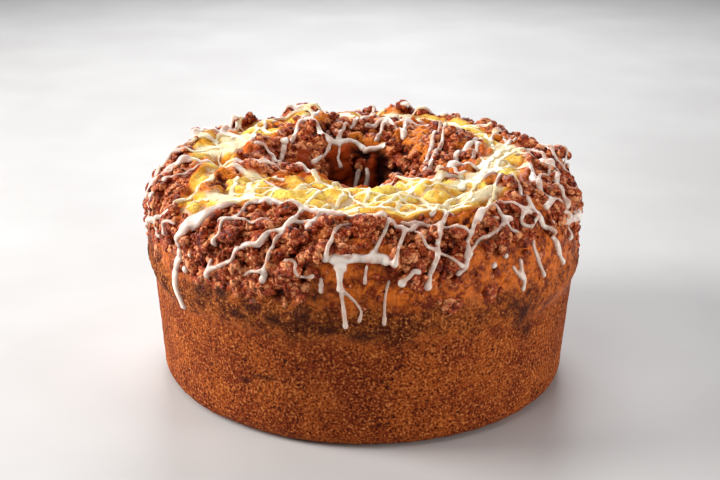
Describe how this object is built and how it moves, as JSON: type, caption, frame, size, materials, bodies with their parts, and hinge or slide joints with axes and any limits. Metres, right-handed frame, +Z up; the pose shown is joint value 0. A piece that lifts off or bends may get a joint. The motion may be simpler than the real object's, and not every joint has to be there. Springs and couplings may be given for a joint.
{
  "type": "coffee cake",
  "caption": "Tall ring-shaped coffee cake from a tube pan, with a torn crown, baked-on streusel and a thin icing drizzle.",
  "frame": {"origin": "centre of the flat base, on the axis of the ring, on the surface it stands on", "axes": "+Z up along the ring's axis, -Y towards the side that the picture shows, +X to that view's right"},
  "size_m": [0.2564, 0.2557, 0.1379],
  "materials": {
    "crust": "browned, fine pores, dry with a faint sheen",
    "streusel": "baked sugar crumbs, rough with a faint sheen",
    "icing": "set sugar glaze, smooth, slightly translucent"
  },
  "bodies": {
    "root": {"cake": "crust", "streusel_clump_01": "streusel", "streusel_clump_02": "streusel", "streusel_clump_03": "streusel", "streusel_clump_04": "streusel", "streusel_clump_05": "streusel", "streusel_clump_06": "streusel", "streusel_clump_07": "streusel", "streusel_clump_08": "streusel", "streusel_clump_09": "streusel", "streusel_clump_10": "streusel", "streusel_clump_11": "streusel", "streusel_clump_12": "streusel", "streusel_clump_13": "streusel", "streusel_clump_14": "streusel", "streusel_clump_15": "streusel", "streusel_clump_16": "streusel", "streusel_clump_17": "streusel", "streusel_clump_18": "streusel", "streusel_clump_19": "streusel", "streusel_clump_20": "streusel", "streusel_clump_21": "streusel", "streusel_clump_22": "streusel", "streusel_clump_23": "streusel", "streusel_clump_24": "streusel", "streusel_clump_25": "streusel", "streusel_clump_26": "streusel", "streusel_clump_27": "streusel", "streusel_clump_28": "streusel", "streusel_clump_29": "streusel", "streusel_clump_30": "streusel", "streusel_clump_31": "streusel", "streusel_clump_32": "streusel", "streusel_clump_33": "streusel", "streusel_clump_34": "streusel", "streusel_clump_35": "streusel", "streusel_clump_36": "streusel", "streusel_clump_37": "streusel", "streusel_clump_38": "streusel", "streusel_clump_39": "streusel", "streusel_clump_40": "streusel", "streusel_clump_41": "streusel", "streusel_clump_42": "streusel", "streusel_clump_43": "streusel", "streusel_clump_44": "streusel", "streusel_clump_45": "streusel", "streusel_clump_46": "streusel", "streusel_clump_47": "streusel", "streusel_clump_48": "streusel", "streusel_clump_49": "streusel", "streusel_clump_50": "streusel", "streusel_clump_51": "streusel", "streusel_clump_52": "streusel", "streusel_clump_53": "streusel", "streusel_inner": "streusel", "streusel_outer": "streusel"}
  },
  "joints": []
}
